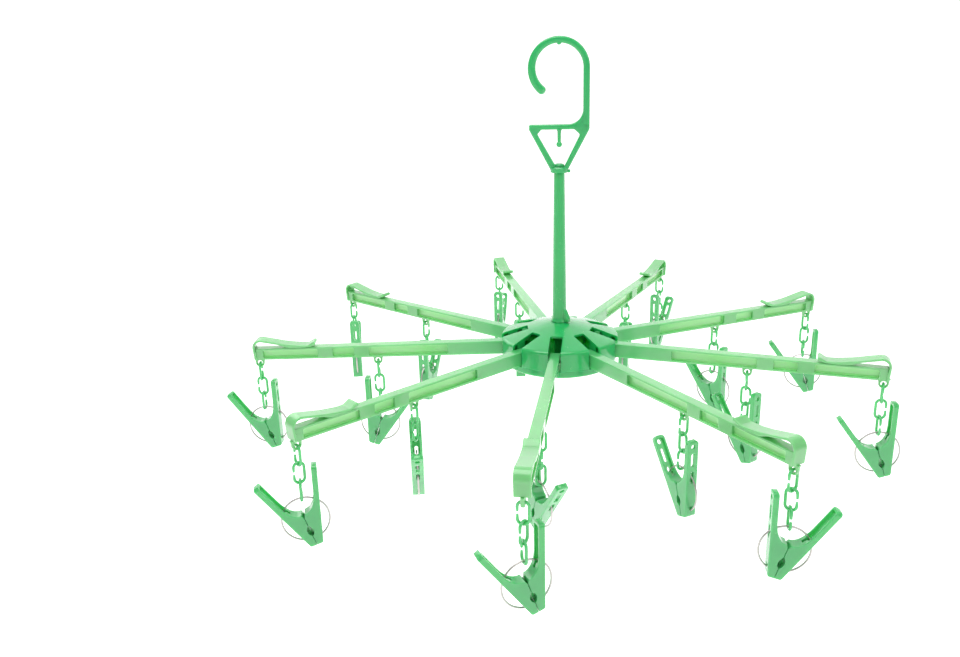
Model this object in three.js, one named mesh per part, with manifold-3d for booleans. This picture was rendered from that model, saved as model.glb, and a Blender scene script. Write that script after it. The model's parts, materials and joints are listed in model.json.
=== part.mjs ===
// Hanging rotary clothes dryer: a pole hangs from a swivel hook and carries a hub
// with nine folding arms. Every arm holds two pegs on short chains and ends in a
// springy finger that nips a sock or a towel corner.
// Millimetres, +Z up. The origin is where the hook sits on a rail.

import * as THREE from 'three';
import { mergeVertices } from 'three/addons/utils/BufferGeometryUtils.js';
import Module from 'manifold-3d';

const wasm = await Module();
wasm.setup();

// ---------------------------------------------------------------- driving sizes

const clearance = 0.3;          // gap kept between pieces that touch
const armCount = 9;
const firstArmTurn = -4.9;      // degrees from the front (-Y), positive towards +X

// hub: heights are measured from the plane of the arm pins
const hubRadius = 62.5;
const hubWall = 2.4;
const hubTop = 27.3;            // crown of the dome, at the pole
const hubShoulder = 12.5;       // where the dome meets the side wall
const hubSkirt = -8.6;          // lower edge of the side wall
const hubEdge = 2;              // width of the bevel round the dome
const pinInset = 12.5;          // arm pins, inwards from the hub's rim
const slotWidth = 13;
const slotRun = 16;             // slot, inwards from the arm pins
const lugThickness = 3;
const lugHalf = 5;
const lugFoot = -4.6;
const bossWall = 3.3;           // wall of the socket that takes the pole
const coverInset = 2;           // the cover's edge, inwards from the hub's rim
const coverBottom = -16.5;
const coverFloor = 2.4;
const coverBevel = 1.5;
const coverLip = 2.6;           // height of the lip inside the side wall
const postRadius = 6;
const restHalf = 3;             // posts that keep the pins in their seats
const restThickness = 2.6;
const screwHead = 4.6;
const screwHeadHeight = 2.1;
const screwShaft = 1.7;
const screwRecess = 4;
const screwBite = 8;            // length of screw in the pole's foot

// pole
const poleTop = 185.5;
const poleFootRadius = 7.4;
const poleFootDepth = 14;       // in the hub's socket
const poleTopRadius = 5.3;
const spindleRadius = 3.4;
const gussetReach = 5;
const gussetHeight = 13;
const gussetThickness = 4;
const gussetTurn = -35;

// hook and stirrup, one moulding
const strap = 6.5;              // thickness of the hook's strap
const strapDepth = 10;
const hookRadius = 27;          // middle of the strap
const hookRise = 54.5;          // centre of the hook above the crossbar
const hookTipTurn = 230;        // degrees, from the shank over the top to the tip
const toothDrop = 1.8;
const toothWidth = 3;
const heelRadius = 14.5;        // fillet between the shank and the crossbar
const stirrupRise = 48.5;       // top of the crossbar above the pole
const barThickness = 5;
const stirrupDepth = 7;
const legThickness = 4.4;
const cornerWeb = 7.5;          // extra width of the web under the shank
const collarRadius = 9;
const collarHeight = 6;
const capWall = 1.8;
const capHeight = 3;
const studLength = 15;
const studRadius = 1.8;
const studBall = 2.9;
const nubReach = 2.2;
const nubHeight = 3;

// arms
const armReach = 328;           // outer end of the arm's beam
const armPlay = 1.2;            // each side of the arm in its slot
const armRootHeight = 15;
const armTipHeight = 12.4;
const flange = 2.4;
const web = 2;
const rootSolid = 71;           // solid root of the beam, from the pin to its first hollow
const nearHollow = 85;          // lengths of the hollows in the beam's sides
const middleHollow = 23;
const blockLength = 16;         // solid blocks between the hollows
const tipSolid = 8;             // solid end of the beam, past the last hollow
const pinRadius = 2.6;
const pinBite = 2.9;            // length of pin in each lug
const eyeDrop = 4.6;            // eye hole below the beam
const eyeHole = 2.9;
const eyeRim = 1.9;
const eyeThickness = 3;
const tipEyeInset = 3;          // tip eye, inwards from the beam's end
const midEyeReach = 197;
const fingerBand = 3;
const fingerBend = 11;
const fingerRise = 10.5;        // top of the finger above the beam
const fingerLength = 66;
const fingerMouth = 34;         // length of the open loop behind the finger's bend
const fingerWidth = 14;
const knobRise = 4.2;

// pegs
const pegLength = 77;
const pegWidth = 12;
const pegHalfAngle = 18;
const jawHalf = 6;
const legDepth = 5;
const valley = 33;              // floor of the V above the jaw ends
const valleyHalf = 1.6;
const cheekBlend = 14;          // length over which the cheek thins into the leg
const fulcrum = 30;             // where the halves rock on each other
const lensHalfWidth = 2.7;      // pointed hole across the parting line of a peg
const lensHalfHeight = 5.5;
const lensHeight = 15.5;        // its middle above the jaw ends
const springRadius = 21.5;
const springWire = 1.8;
const springLift = 4.5;         // lowest point of the ring above the jaw ends
const springHold = 3;           // degrees that each ring end sinks into its leg
const springOverlap = 20;       // degrees of ring that the lever carries inside the V
const pegShift = -1.85;         // sets the peg sideways so that it hangs straight

// chain links
const linkInner = 17.2;
const linkWire = 2.6;
const linkWidth = 12;
const linkShoulder = 4;
const linkCount = 3;

// Which way each peg's lever points, in degrees from the front (-Y) towards +X.
// Pegs turn freely on their chains, so these are only how they hang at rest.
const tipLeverTurn = [-65, 90, -90, -95, 150, 175, -170, -90, -75];
const midLeverTurn = [30, -150, -140, -130, 170, -175, 165, 90, 10];

// ---------------------------------------------------------------- materials

const plastic = (color) => new THREE.MeshStandardMaterial({ color, roughness: 0.28, metalness: 0 });
const bodyGreen = plastic(0x35c26b);
const armGreen = plastic(0x6fcf83);
const pegGreen = plastic(0x58c77a);
const steel = new THREE.MeshStandardMaterial({ color: 0xb9bcc0, roughness: 0.3, metalness: 1 });

// ---------------------------------------------------------------- solid helpers

const radians = THREE.MathUtils.degToRad;

/** A closed three.js geometry as a manifold solid. */
function solid(geometry) {
  const bare = geometry.clone();
  bare.deleteAttribute('normal');
  bare.deleteAttribute('uv');
  const merged = mergeVertices(bare, 1e-4);
  const corners = merged.index.array;
  const triangles = [];
  for (let i = 0; i < corners.length; i += 3) {
    const [a, b, c] = [corners[i], corners[i + 1], corners[i + 2]];
    if (a !== b && b !== c && c !== a) triangles.push(a, b, c);
  }
  return new wasm.Manifold(new wasm.Mesh({
    numProp: 3,
    vertProperties: new Float32Array(merged.attributes.position.array),
    triVerts: new Uint32Array(triangles),
  }));
}

const join = (first, ...rest) => rest.reduce((whole, piece) => whole.add(piece), first);
const cut = (first, ...rest) => rest.reduce((whole, piece) => whole.subtract(piece), first);

/** A named mesh from a manifold solid. */
function piece(name, body, material) {
  const mesh = body.getMesh();
  const geometry = new THREE.BufferGeometry();
  geometry.setAttribute('position', new THREE.BufferAttribute(Float32Array.from(mesh.vertProperties), 3));
  geometry.setIndex(Array.from(mesh.triVerts));
  geometry.computeVertexNormals();
  const made = new THREE.Mesh(geometry, material);
  made.name = name;
  return made;
}

/** A block between two corners. */
function block(x0, x1, y0, y1, z0, z1) {
  const box = new THREE.BoxGeometry(x1 - x0, y1 - y0, z1 - z0);
  box.translate((x0 + x1) / 2, (y0 + y1) / 2, (z0 + z1) / 2);
  return solid(box);
}

/** A plate whose outline lies in X and Z, and whose depth is centred on Y. */
function plate(shape, depth) {
  const geometry = new THREE.ExtrudeGeometry(shape, { depth, bevelEnabled: false });
  geometry.translate(0, 0, -depth / 2);
  geometry.rotateX(Math.PI / 2);
  return solid(geometry);
}

/** A round bar along Z between two heights. */
function bar(bottomRadius, topRadius, z0, z1, sides = 16) {
  const geometry = new THREE.CylinderGeometry(topRadius, bottomRadius, z1 - z0, sides);
  geometry.rotateX(Math.PI / 2);
  geometry.translate(0, 0, (z0 + z1) / 2);
  return solid(geometry);
}

/** A round bar along Y, centred on Y = 0. */
function crossBar(radius, half, x, z, sides = 8) {
  const geometry = new THREE.CylinderGeometry(radius, radius, 2 * half, sides);
  geometry.translate(x, 0, 0);
  const rod = solid(geometry);
  return rod.translate([0, 0, z]);
}

/** A turned solid; the profile is a list of [radius, height]. */
function turned(profile, sides) {
  const points = profile.map(([radius, height]) => new THREE.Vector2(radius, height));
  const geometry = new THREE.LatheGeometry(points, sides);
  geometry.rotateX(Math.PI / 2);
  return solid(geometry);
}

const outline = (points, holes = []) => {
  const shape = new THREE.Shape(points.map(([x, y]) => new THREE.Vector2(x, y)));
  for (const hole of holes) shape.holes.push(new THREE.Path(hole.map(([x, y]) => new THREE.Vector2(x, y))));
  return shape;
};

/** Points on an arc, ends included; angles in degrees. */
function arc(x, y, radius, from, to, steps) {
  const points = [];
  for (let i = 0; i <= steps; i += 1) {
    const angle = radians(from + ((to - from) * i) / steps);
    points.push([x + radius * Math.cos(angle), y + radius * Math.sin(angle)]);
  }
  return points;
}

/** A flat band that follows an arc. */
const bandArc = (x, y, radius, width, from, to, steps) => outline([
  ...arc(x, y, radius + width / 2, from, to, steps),
  ...arc(x, y, radius - width / 2, to, from, steps),
]);

// ---------------------------------------------------------------- hook and swivel

const barTop = poleTop + stirrupRise;
const barBottom = barTop - barThickness;
const hookCentre = barTop + hookRise;
const hookSeat = hookCentre + hookRadius - strap / 2;
const collarBottom = poleTop + clearance;
const collarTop = collarBottom + collarHeight;
const capRadius = spindleRadius + capWall;
const capBottom = collarTop + clearance;
const spindleTop = capBottom + capHeight - 1 - clearance;
const edge = 1;                 // small bevels, and how far joined solids sink into each other

const shankIn = hookRadius - strap / 2;
const shankOut = hookRadius + strap / 2;

function hookStrap() {
  const band = plate(bandArc(0, hookCentre, hookRadius, strap, 0, hookTipTurn, 18), strapDepth);
  const tip = radians(hookTipTurn);
  const tipEnd = crossBar(strap / 2, strapDepth / 2, hookRadius * Math.cos(tip),
    hookCentre + hookRadius * Math.sin(tip), 12);
  const shank = block(shankIn, shankOut, -strapDepth / 2, strapDepth / 2, barTop, hookCentre);
  const tooth = block(-toothWidth / 2, toothWidth / 2, -strapDepth / 2, strapDepth / 2,
    hookSeat - toothDrop, hookSeat + edge);
  const heel = plate(outline([
    ...arc(shankIn + edge - heelRadius, barTop + heelRadius, heelRadius, 0, -90, 5),
    [shankIn - heelRadius, barTop - edge],
    [shankOut, barTop - edge],
    [shankOut, barTop + heelRadius],
  ]), stirrupDepth);
  return join(band, tipEnd, shank, tooth, heel);
}

function stirrup() {
  const insideRight = shankOut - legThickness - cornerWeb;
  const insideLeft = -shankOut + legThickness + 2 * edge;
  const webDrop = 0.8 * cornerWeb;
  return plate(outline([
    [-collarRadius, collarBottom],
    [collarRadius, collarBottom],
    [shankOut, barBottom],
    [shankOut, barTop],
    [-shankOut + edge, barTop],
    [-shankOut, barTop - edge],
    [-shankOut, barBottom],
  ], [[
    ...arc(0, collarTop + legThickness, legThickness, -150, -30, 4),
    [insideRight, barBottom - webDrop],
    [insideRight, barBottom - webDrop / 2],
    [insideRight - webDrop / 2, barBottom],
    [insideLeft + 3 * edge, barBottom],
    [insideLeft, barBottom - 3 * edge],
  ]]), stirrupDepth);
}

function hookFrame() {
  const nub = block(collarRadius, collarRadius + nubReach, -nubReach, nubReach, collarBottom, collarBottom + nubHeight);
  const stud = bar(studRadius, studRadius, barBottom - studLength, barBottom + edge, 8);
  const ball = new THREE.SphereGeometry(studBall, 8, 6);
  ball.translate(0, 0, barBottom - studLength);
  const collar = bar(collarRadius, collarRadius, collarBottom, collarTop, 16);
  const boreRadius = spindleRadius + clearance;
  const bore = bar(boreRadius, boreRadius, collarBottom - edge, collarTop + edge);
  const roomRadius = capRadius + clearance;
  const capRoom = bar(roomRadius, roomRadius, collarTop, collarTop + 3 * capHeight);
  return cut(join(stirrup(), collar), bore, capRoom).add(join(hookStrap(), nub, stud, solid(ball)));
}

const swivelCap = () => cut(
  bar(capRadius, capRadius - edge, capBottom, capBottom + capHeight, 14),
  bar(spindleRadius + clearance, spindleRadius + clearance, collarTop, spindleTop + clearance, 12),
);

// ---------------------------------------------------------------- pole

const poleFoot = hubTop - poleFootDepth;

function pole() {
  const rod = bar(poleFootRadius, poleTopRadius, hubTop, poleTop, 18);
  const foot = bar(poleFootRadius, poleFootRadius, poleFoot, hubTop, 18);
  const spindle = bar(spindleRadius, spindleRadius, poleTop - edge, spindleTop, 12);
  const gussetRoot = poleFootRadius - 3 * edge;
  const gussetFoot = hubTop + clearance;
  const gusset = plate(outline([
    [gussetRoot, gussetFoot],
    [poleFootRadius + gussetReach, gussetFoot],
    [poleFootRadius + gussetReach, gussetFoot + 3 * edge],
    [poleFootRadius - edge, gussetFoot + gussetHeight],
    [gussetRoot, gussetFoot + gussetHeight],
  ]), gussetThickness).rotate([0, 0, gussetTurn]);
  const holeRadius = screwShaft + clearance;
  const screwHole = bar(holeRadius, holeRadius, poleFoot - edge, poleFoot + screwBite + 2 * edge, 10);
  return cut(join(rod, foot, spindle, gusset), screwHole);
}

// ---------------------------------------------------------------- hub

const bossRadius = poleFootRadius + clearance + bossWall;
const bossFoot = poleFoot - 3;
const pinReach = hubRadius - pinInset;   // from the axis to the arm pins
const coverRadius = hubRadius - coverInset;
const domeDrop = 0.8;                    // the crown falls this much to the socket's wall

const armTurn = (index) => firstArmTurn + (360 / armCount) * index;
const facing = (turn) => turn - 90;      // rotation about Z that lays +X along a turn

/** Height of the dome's outer face at a distance from the axis. */
const domeHeight = (reach) => {
  const along = (reach - bossRadius) / (hubRadius - hubEdge - bossRadius);
  return hubTop - domeDrop + (hubShoulder - hubTop + domeDrop) * along;
};

/** A round way for the cover screw, from below the cover up to a height. */
const screwWay = (top) => bar(screwShaft + 2 * clearance, screwShaft + 2 * clearance, coverBottom - edge, top, 10);

function hubBody() {
  const inner = hubRadius - hubWall;
  const shell = turned([
    [0, hubTop - hubWall],
    [bossRadius, hubTop - domeDrop - hubWall],
    [inner, domeHeight(inner) - hubWall],
    [inner, hubSkirt],
    [hubRadius, hubSkirt],
    [hubRadius, hubShoulder - hubEdge],
    [hubRadius - hubEdge, hubShoulder],
    [bossRadius, hubTop - domeDrop],
    [0, hubTop],
  ], 36);
  const boss = bar(bossRadius, bossRadius, bossFoot, hubTop - hubWall + edge, 20);
  const socketRadius = poleFootRadius + clearance;
  const socket = bar(socketRadius, socketRadius, poleFoot - clearance, hubTop + edge, 18);
  let body = join(shell, boss);
  const cuts = [socket, screwWay(poleFoot)];
  const half = slotWidth / 2;
  const seatRadius = pinRadius + clearance;
  for (let index = 0; index < armCount; index += 1) {
    const turn = facing(armTurn(index));
    const lug = plate(outline([
      [pinReach - lugHalf, lugFoot],
      [pinReach + lugHalf, lugFoot],
      [pinReach + lugHalf, domeHeight(pinReach + lugHalf) - edge],
      [pinReach - lugHalf, domeHeight(pinReach - lugHalf) - edge],
    ]), lugThickness);
    for (const side of [-1, 1]) {
      const beside = lug.translate([0, side * (half + lugThickness / 2), 0]);
      body = body.add(beside.rotate([0, 0, turn]));
    }
    const slot = block(pinReach - slotRun, hubRadius + edge, -half, half, hubSkirt - edge, hubTop + edge);
    const pinSeat = plate(outline([
      [pinReach - seatRadius, lugFoot - edge],
      [pinReach + seatRadius, lugFoot - edge],
      ...arc(pinReach, 0, seatRadius, 0, 180, 5),
    ]), slotWidth + 2 * (lugThickness + edge));
    cuts.push(slot.rotate([0, 0, turn]), pinSeat.rotate([0, 0, turn]));
  }
  return cut(body, ...cuts);
}

function hubCover() {
  const lipRadius = hubRadius - hubWall - clearance;
  const rim = hubSkirt - clearance;
  let cover = turned([
    [0, coverBottom],
    [coverRadius - coverBevel, coverBottom],
    [coverRadius, coverBottom + coverBevel],
    [coverRadius, rim],
    [lipRadius, rim],
    [lipRadius, rim + coverLip],
    [lipRadius - hubWall, rim + coverLip],
    [lipRadius - hubWall, coverBottom + coverFloor],
    [0, coverBottom + coverFloor],
  ], 36);
  cover = cover.add(bar(postRadius, postRadius, coverBottom + edge, bossFoot - clearance, 16));
  const restDepth = restThickness / 2;
  for (let index = 0; index < armCount; index += 1) {
    const turn = facing(armTurn(index));
    for (const side of [-1, 1]) {
      const middle = side * (slotWidth + lugThickness) / 2;
      const rest = block(pinReach - restHalf, pinReach + restHalf, middle - restDepth, middle + restDepth,
        coverBottom + edge, lugFoot - clearance);
      const nose = block(pinReach - restHalf + edge, pinReach + restHalf - edge, middle - restDepth,
        middle + restDepth, lugFoot - edge, -pinRadius - clearance);
      cover = cover.add(join(rest, nose).rotate([0, 0, turn]));
    }
    const armWay = block(pinReach, hubRadius, -slotWidth / 2, slotWidth / 2,
      -armRootHeight / 2 - 2 * clearance, 0);
    cover = cover.subtract(armWay.rotate([0, 0, turn]));
  }
  const headWay = screwHead + clearance;
  const headRoom = bar(headWay, headWay, coverBottom - edge, coverBottom + screwRecess, 14);
  return cut(cover, screwWay(bossFoot), headRoom);
}

function coverScrew() {
  const headTop = coverBottom + screwRecess - clearance;
  const headBottom = headTop - screwHeadHeight;
  const head = bar(screwHead - 2 * clearance, screwHead, headBottom, headTop, 14);
  const shaft = bar(screwShaft, screwShaft, headTop - edge, poleFoot + screwBite, 10);
  const slotHalf = 0.6 * screwHead;
  const slot = block(-edge / 2, edge / 2, -slotHalf, slotHalf, headBottom - edge, headBottom + edge);
  const crossSlot = block(-slotHalf, slotHalf, -edge / 2, edge / 2, headBottom - edge, headBottom + edge);
  return cut(join(head, shaft), slot, crossSlot);
}

// ---------------------------------------------------------------- arms

// The beam tapers from the pin to its outer end. X is the distance from the hub's axis.
const armWidth = slotWidth - 2 * armPlay;
const tipEyeReach = armReach - tipEyeInset;
const halfHeight = (x) => {
  const along = Math.max(0, (x - pinReach) / (armReach - pinReach));
  return (armRootHeight + (armTipHeight - armRootHeight) * along) / 2;
};
const eyeHeight = (x) => -halfHeight(x) - eyeDrop;

function eye(x) {
  const rim = eyeHole + eyeRim;
  const under = -halfHeight(x) + edge;
  return plate(outline([
    [x - rim, under],
    ...arc(x, eyeHeight(x), rim, 180, 360, 4),
    [x + rim, under],
  ], [arc(x, eyeHeight(x), eyeHole, 360, 60, 5)]), eyeThickness);
}

/** The springy strip that curls over the beam's end and runs back along its top. */
function finger() {
  const bottom = -halfHeight(armReach);
  const top = -bottom + fingerRise;
  const padEnd = armReach - fingerLength;
  const mouthEnd = armReach - fingerMouth;
  const rest = halfHeight(padEnd) + clearance;
  const bendX = armReach + fingerBand - fingerBend;
  const bendZ = top - fingerBend;
  const padThickness = 2.2;
  return plate(outline([
    [armReach - edge, bottom],
    [armReach + fingerBand - edge, bottom + edge],
    ...arc(bendX, bendZ, fingerBend, 0, 90, 4),
    [mouthEnd, top - edge / 2],
    [padEnd + 2 * padThickness, rest + 2 * padThickness + edge],
    [padEnd, rest + padThickness],
    [padEnd - 3, rest + knobRise],
    [padEnd - 4.4, rest + knobRise - 1.6],
    [padEnd - edge, rest],
    [mouthEnd - edge, rest],
    [mouthEnd + 4 * fingerBand, top - fingerBand - edge / 2],
    ...arc(bendX, bendZ, fingerBend - fingerBand, 90, 0, 4),
    [armReach - edge / 5, -bottom - 3],
    [armReach - edge, -bottom - 4],
  ]), fingerWidth);
}

/** One hollow of the beam's side, between two ribs. */
const recess = (from, to) => plate(outline([
  [from, -halfHeight(from) + flange],
  [to, -halfHeight(to) + flange],
  [to, halfHeight(to) - flange],
  [from, halfHeight(from) - flange],
]), armWidth);

function arm() {
  const beam = plate(outline([
    ...arc(pinReach, 0, armRootHeight / 2, 90, 270, 8),
    [armReach, -armTipHeight / 2],
    [armReach, armTipHeight / 2],
  ]), armWidth);
  const nearStart = pinReach + rootSolid;
  const middleStart = nearStart + nearHollow + blockLength;
  const tipStart = middleStart + middleHollow + blockLength;
  const hollows = [
    recess(nearStart, nearStart + nearHollow),
    recess(middleStart, middleStart + middleHollow),
    recess(tipStart, armReach - tipSolid),
  ];
  const aside = (armWidth + web) / 2;
  const cuts = hollows.flatMap((hollow) => [hollow.translate([0, aside, 0]), hollow.translate([0, -aside, 0])]);
  const pins = crossBar(pinRadius, slotWidth / 2 + pinBite, pinReach, 0);
  return cut(join(beam, pins, finger(), eye(tipEyeReach), eye(midEyeReach)), ...cuts);
}

// ---------------------------------------------------------------- pegs

// A peg is drawn upright, its parting plane on X = 0 and its jaw ends at Z = 0, then
// tipped so that its first leg is plumb, with the spring's centre under the eye.
const springCentre = springRadius + springLift;
const springDrop = linkCount * linkInner + linkWire / 2 + springRadius - springWire / 2;
const hang = (body) => body
  .translate([0, 0, -springCentre])
  .rotate([0, pegHalfAngle, 0])
  .translate([pegShift, 0, -springDrop]);

/** One half of a peg; side is -1 for the plumb leg and 1 for the lever. */
function pegHalf(side) {
  const slope = radians(pegHalfAngle);
  const [lean, rise] = [Math.sin(slope), Math.cos(slope)];
  const at = (along, depth) => [jawHalf + along * lean - depth * rise, along * rise + depth * lean];
  const gap = clearance / 2;
  const points = [
    [gap, 0],
    [jawHalf - edge, 0],
    at(edge, 0),
    at(pegLength - edge, 0),
    at(pegLength, edge),
    at(pegLength, legDepth - edge),
    at(pegLength - edge, legDepth),
    at(valley + cheekBlend, legDepth),
    at(valley + cheekBlend / 2, legDepth + edge),
    [jawHalf, valley + edge],
    [valleyHalf, valley],
    [gap, fulcrum],
    [gap, lensHeight + lensHalfHeight],
    [0.75 * lensHalfWidth, lensHeight + lensHalfHeight / 2],
    [lensHalfWidth, lensHeight],
    [0.75 * lensHalfWidth, lensHeight - lensHalfHeight / 2],
    [gap, lensHeight - lensHalfHeight],
  ];
  const mirror = ([x, y]) => [side * x, y];
  const wind = (list) => (side < 0 ? list.map(mirror).reverse() : list);
  return plate(outline(wind(points)), pegWidth);
}

/** Half of the ring spring, from inside the V, out round one leg and back to its jaw. */
function springHalf(side) {
  const slope = radians(pegHalfAngle);
  const toFace = jawHalf * Math.cos(slope) + springCentre * Math.sin(slope);
  const crossing = THREE.MathUtils.radToDeg(Math.acos(toFace / springRadius));
  const from = side < 0 ? 91 : crossing - pegHalfAngle + springOverlap;
  const to = crossing + pegHalfAngle - springHold;
  const shape = bandArc(0, springCentre, springRadius, springWire, from, -to, 6);
  return side < 0 ? plate(shape, springWire).mirror([1, 0, 0]) : plate(shape, springWire);
}

/** One link, a flat loop; the loops cross at right angles where they meet. */
function link(index) {
  const top = linkWire / 2 - index * linkInner;
  const bottom = top - linkInner - 2 * linkWire;
  const half = linkWidth / 2;
  const flat = half - 0.9 * linkShoulder;
  const loop = (inset) => [
    [-half + inset, top - linkShoulder],
    [-half + inset, bottom + linkShoulder],
    [-flat + inset / 2, bottom + inset],
    [flat - inset / 2, bottom + inset],
    [half - inset, bottom + linkShoulder],
    [half - inset, top - linkShoulder],
    [flat - inset / 2, top - inset],
    [-flat + inset / 2, top - inset],
  ];
  const merge = 0.02;           // neighbouring links are one body, so they touch
  const ring = plate(outline(loop(0), [loop(linkWire + merge).reverse()]), linkWire + 2 * merge);
  return ring.rotate([0, 0, index % 2 === 0 ? 90 : 0]);
}

const chain = () => join(link(0), ...Array.from({ length: linkCount - 1 }, (_, index) => link(index + 1)));

// ---------------------------------------------------------------- assembly

const dryer = new THREE.Group();
const frame = new THREE.Group();
frame.position.z = -hookSeat;
dryer.add(frame);

frame.add(piece('hook_frame', hookFrame(), bodyGreen));
frame.add(piece('swivel_cap', swivelCap(), bodyGreen));
frame.add(piece('pole', pole(), bodyGreen));
frame.add(piece('hub_body', hubBody(), bodyGreen));
frame.add(piece('hub_cover', hubCover(), bodyGreen));
frame.add(piece('cover_screw', coverScrew(), steel));

const armBody = arm();
const chainBody = chain();
const plumbLeg = hang(join(pegHalf(-1), springHalf(-1)));
const leverLeg = hang(join(pegHalf(1), springHalf(1)));

/** A peg on its chain, hung from an eye of an arm. */
function hungPeg(name, x, turnOnChain) {
  const group = new THREE.Group();
  group.position.set(x, 0, eyeHeight(x));
  const leg = plumbLeg.rotate([0, 0, turnOnChain]);
  group.add(piece(name, chainBody.add(leg), pegGreen));
  const lever = piece(`${name}_lever`, leverLeg, pegGreen);
  lever.rotation.z = radians(turnOnChain);
  group.add(lever);
  return group;
}

for (let index = 0; index < armCount; index += 1) {
  const number = index + 1;
  const turn = armTurn(index);
  const armGroup = new THREE.Group();
  armGroup.rotation.z = radians(facing(turn));
  armGroup.add(piece(`arm_${number}`, armBody, armGreen));
  armGroup.add(hungPeg(`tip_peg_${number}`, tipEyeReach, tipLeverTurn[index] - turn));
  armGroup.add(hungPeg(`mid_peg_${number}`, midEyeReach, midLeverTurn[index] - turn));
  frame.add(armGroup);
}

export default dryer;
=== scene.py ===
"""Hanging rotary clothesline: smooth moulded pieces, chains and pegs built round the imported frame.

Pieces are drawn in millimetres and scaled to metres when they are placed.
"""

import json
import math

import bmesh
import bpy
from bpy.props import FloatProperty, FloatVectorProperty, IntProperty, PointerProperty
from mathutils import Matrix, Vector


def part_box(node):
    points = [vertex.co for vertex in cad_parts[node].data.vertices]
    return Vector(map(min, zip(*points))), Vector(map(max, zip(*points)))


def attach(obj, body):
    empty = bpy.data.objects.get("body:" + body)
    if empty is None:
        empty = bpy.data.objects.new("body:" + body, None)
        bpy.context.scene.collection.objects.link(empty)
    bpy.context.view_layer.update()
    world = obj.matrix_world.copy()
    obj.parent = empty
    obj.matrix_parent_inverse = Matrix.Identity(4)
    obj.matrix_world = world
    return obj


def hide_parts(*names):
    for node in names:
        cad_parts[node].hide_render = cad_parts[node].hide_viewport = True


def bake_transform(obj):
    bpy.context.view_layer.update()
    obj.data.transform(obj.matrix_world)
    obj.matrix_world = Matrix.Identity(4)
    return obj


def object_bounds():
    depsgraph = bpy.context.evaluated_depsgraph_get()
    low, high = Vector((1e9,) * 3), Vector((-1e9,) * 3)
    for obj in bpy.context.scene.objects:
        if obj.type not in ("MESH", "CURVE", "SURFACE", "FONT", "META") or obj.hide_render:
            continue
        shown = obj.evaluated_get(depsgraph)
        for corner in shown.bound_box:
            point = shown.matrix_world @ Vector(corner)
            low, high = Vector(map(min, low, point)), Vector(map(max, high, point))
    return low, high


bl_info = {
    "name": "Rotary Clothesline",
    "version": (1, 0, 0),
    "blender": (4, 5, 0),
    "location": "View3D > Sidebar > Clothesline",
    "description": "Builds a hanging clothes dryer with folding arms, chains and sprung pegs",
    "category": "Add Mesh",
}

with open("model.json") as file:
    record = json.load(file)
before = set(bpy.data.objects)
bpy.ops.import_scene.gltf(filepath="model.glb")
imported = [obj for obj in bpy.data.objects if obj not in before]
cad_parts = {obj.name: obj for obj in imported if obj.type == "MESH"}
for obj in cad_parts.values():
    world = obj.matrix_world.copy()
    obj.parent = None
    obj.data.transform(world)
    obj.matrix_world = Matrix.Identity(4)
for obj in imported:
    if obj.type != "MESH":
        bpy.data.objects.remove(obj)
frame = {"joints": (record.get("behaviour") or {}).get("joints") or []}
CAD_BOX = [list(corner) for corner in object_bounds()]

# ---------------------------------------------------------------- places taken from the frame

MM = 0.001
JOINTS = {joint["name"]: joint for joint in frame["joints"]}
ARM_COUNT = sum(1 for name in JOINTS if name.endswith("_fold"))
ARM_NUMBERS = range(1, ARM_COUNT + 1)
PEG_NAMES = [f"{place}_peg_{number}" for number in ARM_NUMBERS for place in ("tip", "mid")]


def pivot(joint):
    """A joint's place, in millimetres."""
    return Vector(JOINTS[joint]["pos_m"]) / MM


def low_high(node):
    """A node's lowest and highest corners, in millimetres."""
    low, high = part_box(node)
    return low / MM, high / MM


PIN = pivot("arm_1_fold")
PIN_PLANE = PIN.z
PIN_REACH = math.hypot(PIN.x, PIN.y)
HUB_LOW, HUB_HIGH = low_high("hub_body")
HUB_RADIUS = (HUB_HIGH.x - HUB_LOW.x) / 2
POLE_LOW, POLE_HIGH = low_high("pole")
COVER_FLOOR = low_high("hub_cover")[0].z
HOOK_FOOT = low_high("hook_frame")[0].z


def arm_turn(number):
    """Rotation about Z that lays +X along an arm."""
    place = pivot(f"arm_{number}_fold")
    return math.atan2(place.y, place.x)


def lever_turn(peg):
    """Rotation about Z that lays +X the way a peg's lever points."""
    axis = JOINTS[f"{peg}_squeeze"]["axis"]
    return math.atan2(axis[0], -axis[1])


RUNNING_GAP = 0.3               # between pieces that turn or slide in each other
PARTING_GAP = 0.15              # from a peg's parting plane to each of its halves

# Turns a plate face on: its X runs up, its Z across, and its depth from left to right.
FACE_ON = Matrix(((0, 1, 0, 0), (0, 0, 1, 0), (1, 0, 0, 0), (0, 0, 0, 1)))


# ---------------------------------------------------------------- settings


def length(name, description, millimetres):
    """A size that the sidebar shows, in metres."""
    return FloatProperty(name=name, description=description, default=millimetres * MM, min=0.0,
                         unit="LENGTH", subtype="DISTANCE", precision=4)


def size_of(settings, name):
    """A size of the sidebar, in millimetres."""
    return getattr(settings, name) / MM


def sizes_of(settings, names):
    """Several sizes of the sidebar, in millimetres."""
    return [size_of(settings, name) for name in names.split()]


def angle(name, description, degrees):
    """An angle that the sidebar shows."""
    return FloatProperty(name=name, description=description, default=math.radians(degrees),
                         unit="ROTATION", subtype="ANGLE")


def colour(name, description, default):
    """A colour that the sidebar shows."""
    return FloatVectorProperty(name=name, description=description, default=default, size=4,
                               min=0.0, max=1.0, subtype="COLOR")


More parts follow.
